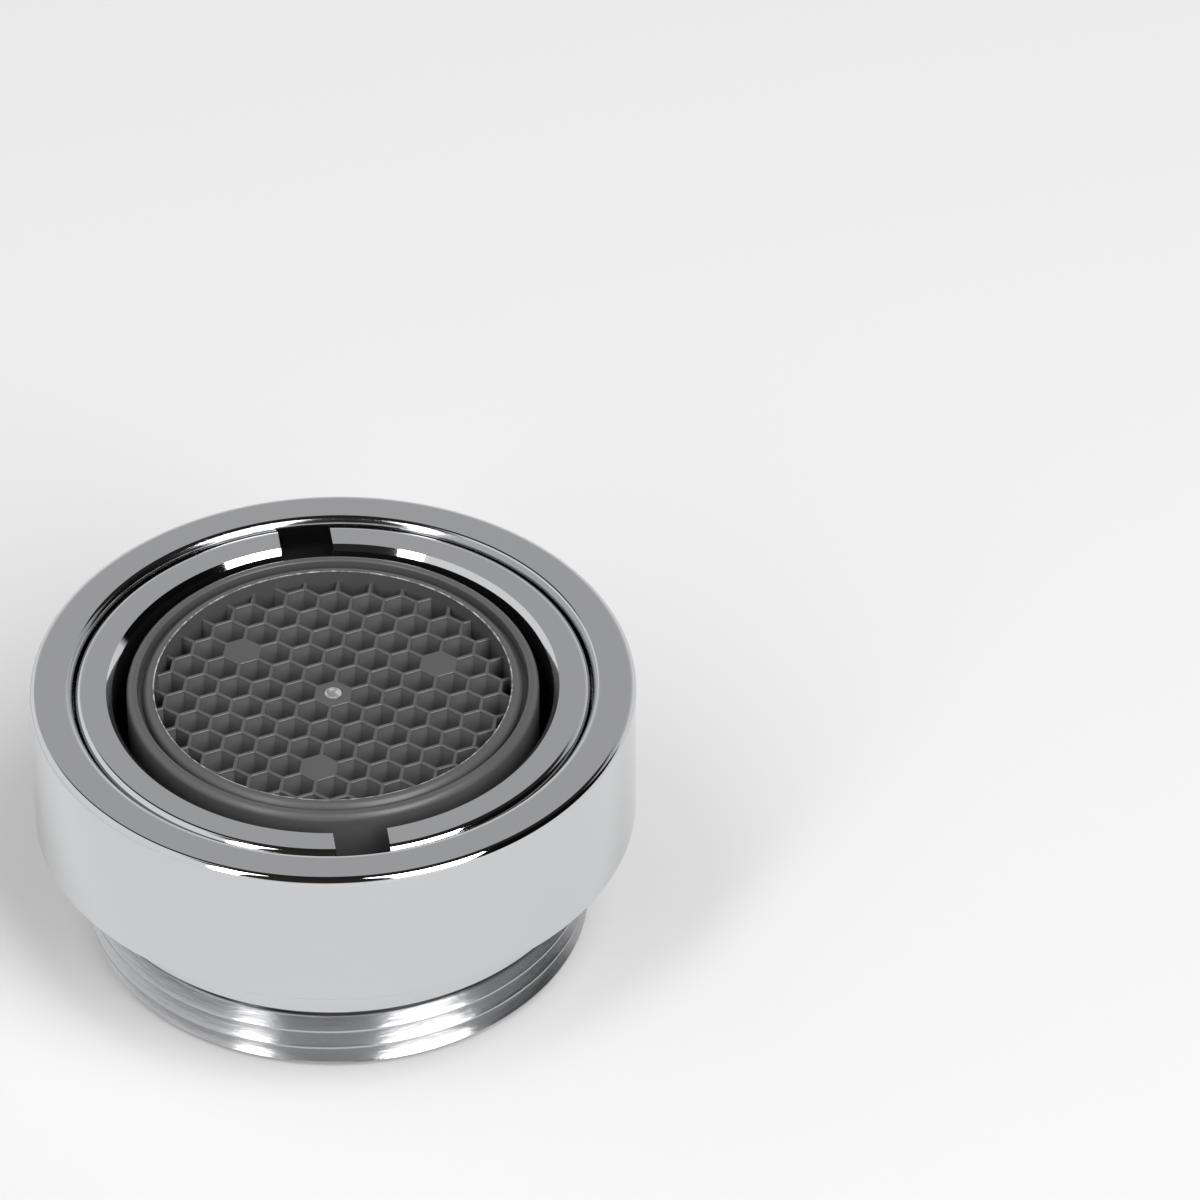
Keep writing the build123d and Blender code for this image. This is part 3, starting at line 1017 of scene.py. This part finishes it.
PLAIN_FINISHES = (
    # node, material name, kind, colour, roughness
    ("retaining_ring", "spring_steel", "metal", (0.45, 0.45, 0.46), 0.3),
    ("sealing_washer", "washer_rubber", "moulded", (0.03, 0.03, 0.032), 0.75),
    ("interrupter_grid_upper", "grid_plastic_upper", "moulded", (0.62, 0.62, 0.6), 0.45),
    ("interrupter_grid_lower", "grid_plastic_lower", "moulded", (0.6, 0.6, 0.58), 0.45),
    ("jet_plate", "plate_plastic", "moulded", (0.7, 0.7, 0.68), 0.4),
    ("regulator_base", "regulator_plastic", "moulded", (0.75, 0.75, 0.72), 0.4),
    ("regulator_seal", "seal_rubber", "moulded", (0.03, 0.03, 0.032), 0.7),
    ("regulator_cap", "cap_plastic", "moulded", (0.73, 0.73, 0.7), 0.4),
    ("inlet_filter", "filter_plastic", "moulded", (0.2, 0.2, 0.2), 0.45),
)


class AERATOR_OT_hidden_pieces(bpy.types.Operator):
    """Give the pieces that keep their solid form their own finishes"""
    bl_idname = "aerator.hidden_pieces"
    bl_label = "Washer, filter and stacked pieces"

    def execute(self, context):
        for node, name, kind, colour, roughness in PLAIN_FINISHES:
            if kind == "metal":
                material = chromed(name, colour, roughness, 9000.0, 4e-7)
            else:
                material = moulded(name, colour, roughness)
            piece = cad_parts[node]
            piece.data.materials.clear()
            piece.data.materials.append(material)
        return {"FINISHED"}


# Stage

LAMP_DISTANCE = 0.6
LAMPS = (
    # name, azimuth right of the front, elevation, lean to the left, width, height
    ("lamp_right", 42.3, 48.5, -16.5, 0.272, 0.68),
    ("lamp_left", -44.3, 48.5, 16.5, 0.102, 0.68),
)
CAMERA_PLACE = (12.49 * MM, -320.34 * MM, 278.93 * MM)
CAMERA_TILT = radians(50.89)
CAMERA_LENS = 267.0
CAMERA_SENSOR = 36.0

WALL_LOW = (1.0, 1.0, 1.0)
WALL_HIGH = (0.5, 0.5, 0.505)
CEILING = (0.025, 0.023, 0.021)
LEFT_SCREEN = (0.93, 0.93, 0.94)
FRONT_DARK = (0.03, 0.027, 0.024)
RIGHT_DARK = (0.004, 0.004, 0.004)
# unit normal of the plane through the left lamp's length and the part, towards the left
LEFT_OF_LAMP = (-0.835, 0.5135, -0.196)


def surroundings(scene):
    """What the chrome mirrors: a pale wall behind, a white screen at the left, dark elsewhere."""
    world = bpy.data.worlds.new("surroundings")
    world.use_nodes = True
    scene.world = world
    tree = world.node_tree
    place = coordinates(tree, "Generated")
    x, y, z = parted(tree, place)
    # degrees above the horizon, and degrees right of the front
    lift = times(tree, math_node(tree, "ARCSINE", z), 180 / pi)
    side = times(tree, math_node(tree, "ARCTAN2", x, times(tree, y, -1)), 180 / pi)
    beyond = tree.nodes.new("ShaderNodeVectorMath")
    beyond.operation = "DOT_PRODUCT"
    beyond.inputs[1].default_value = LEFT_OF_LAMP
    tree.links.new(place, beyond.inputs[0])
    beyond = beyond.outputs["Value"]
    wall = tinted(tree, ramp(tree, lift, 4, 39), WALL_LOW, WALL_HIGH)
    colour = tinted(tree, ramp(tree, lift, 43, 45.5), wall, CEILING)
    left = times(
        tree, ramp(tree, beyond, 0.08, 0.1), ramp(tree, lift, 70, 66),
        minus(tree, 1, ramp(tree, side, 0, 2)), ramp(tree, side, -154, -150))
    colour = tinted(tree, left, colour, LEFT_SCREEN)
    front = times(
        tree, ramp(tree, math_node(tree, "ABSOLUTE", side), 90, 86),
        ramp(tree, beyond, 0.1, 0.08), ramp(tree, lift, 21, 26))
    colour = tinted(tree, front, colour, FRONT_DARK)
    right = times(
        tree, ramp(tree, side, 50, 53), ramp(tree, side, 122, 118), ramp(tree, lift, 9, 12))
    colour = tinted(tree, right, colour, RIGHT_DARK)
    tree.links.new(colour, tree.nodes["Background"].inputs["Color"])


class AERATOR_OT_stage(bpy.types.Operator):
    """Set up the pale floor, the soft lamps, the surroundings and the camera"""
    bl_idname = "aerator.stage"
    bl_label = "Stage"

    def execute(self, context):
        finish = context.scene.aerator_finish
        scene = context.scene
        shell = bmesh.new()
        bmesh.ops.create_grid(shell, x_segments=8, y_segments=8, size=3.0)
        mesh = bpy.data.meshes.new("floor")
        shell.to_mesh(mesh)
        shell.free()
        material, _, surface = new_material("pale_floor")
        surface.inputs["Base Color"].default_value = (0.46, 0.46, 0.46, 1)
        surface.inputs["Roughness"].default_value = 0.9
        surface.inputs["Specular IOR Level"].default_value = 0.0
        surface.inputs["Emission Color"].default_value = (1, 1, 1, 1)
        surface.inputs["Emission Strength"].default_value = finish.floor_brightness
        mesh_piece("floor", mesh, material)
        for name, azimuth, lift, lean, width, height in LAMPS:
            lamp = bpy.data.lights.new(name, "AREA")
            lamp.shape = "RECTANGLE"
            lamp.size = width
            lamp.size_y = height
            lamp.energy = finish.lamp_power * pi * width * height
            holder = loose_object(name, lamp)
            turn = radians(azimuth)
            out = Vector((sin(turn), -cos(turn), tan(radians(lift)))).normalized()
            holder.location = out * LAMP_DISTANCE
            aim = (-out).to_track_quat("-Z", "Y") @ Quaternion((0, 0, 1), radians(lean))
            holder.rotation_euler = aim.to_euler()
        surroundings(scene)
        shot = bpy.data.cameras.new("camera")
        shot.sensor_width = CAMERA_SENSOR
        shot.lens = CAMERA_LENS
        shot.clip_start = 0.01
        shot.clip_end = 20.0
        camera = loose_object("camera", shot)
        camera.location = CAMERA_PLACE
        camera.rotation_euler = (CAMERA_TILT, 0, 0)
        scene.camera = camera
        scene.view_settings.view_transform = "Standard"
        return {"FINISHED"}


class AERATOR_PT_panel(bpy.types.Panel):
    """Lists the pieces, their sizes and their finishes"""
    bl_idname = "AERATOR_PT_panel"
    bl_label = "Tap Aerator"
    bl_space_type = "VIEW_3D"
    bl_region_type = "UI"
    bl_category = "Aerator"

    def draw(self, context):
        layout = self.layout
        for group in (context.scene.aerator_sizes, context.scene.aerator_finish):
            for name in group.__annotations__:
                layout.prop(group, name)
        for operator in STEPS:
            layout.operator(operator.bl_idname)


STEPS = (
    AERATOR_OT_finishes,
    AERATOR_OT_shroud,
    AERATOR_OT_sleeve,
    AERATOR_OT_insert,
    AERATOR_OT_hidden_pieces,
    AERATOR_OT_stage,
)
CLASSES = (AeratorSizes, AeratorFinish, *STEPS, AERATOR_PT_panel)


def register():
    for kind in CLASSES:
        bpy.utils.register_class(kind)
    bpy.types.Scene.aerator_sizes = PointerProperty(type=AeratorSizes)
    bpy.types.Scene.aerator_finish = PointerProperty(type=AeratorFinish)


def unregister():
    del bpy.types.Scene.aerator_finish
    del bpy.types.Scene.aerator_sizes
    for kind in reversed(CLASSES):
        bpy.utils.unregister_class(kind)


def main():
    register()
    bpy.ops.aerator.finishes()
    bpy.ops.aerator.shroud()
    bpy.ops.aerator.sleeve()
    bpy.ops.aerator.insert()
    bpy.ops.aerator.hidden_pieces()
    bpy.ops.aerator.stage()


if __name__ == "__main__":
    main()
